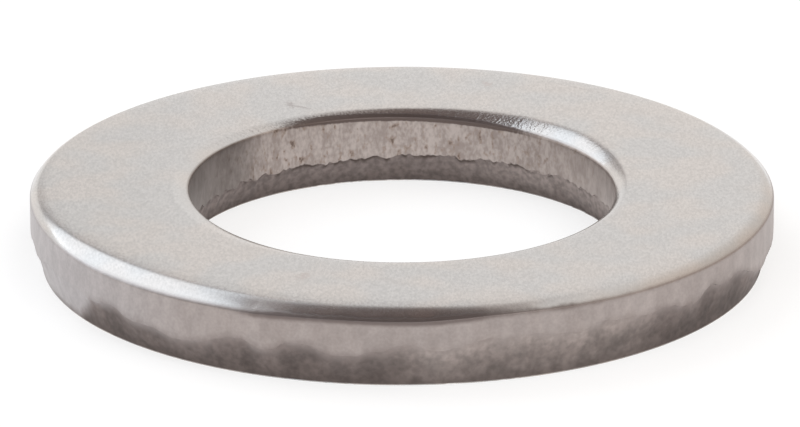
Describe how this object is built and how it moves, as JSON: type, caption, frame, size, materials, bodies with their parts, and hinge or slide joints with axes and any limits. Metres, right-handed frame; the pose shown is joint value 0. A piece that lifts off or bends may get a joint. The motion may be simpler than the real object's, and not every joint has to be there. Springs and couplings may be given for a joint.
{
  "type": "plain washer",
  "caption": "Plain flat steel washer, punched from strip, with rolled upper edges and torn lower edges, that spreads the load under a bolt head or nut.",
  "frame": {"origin": "middle of the bottom face, on the axis of the bore", "axes": "+Z along the bore, from the bottom face to the top face with the rolled edges"},
  "size_m": [0.03, 0.03, 0.0031],
  "materials": {
    "steel": "satin, bare"
  },
  "bodies": {
    "root": {"washer": "steel"}
  },
  "joints": []
}
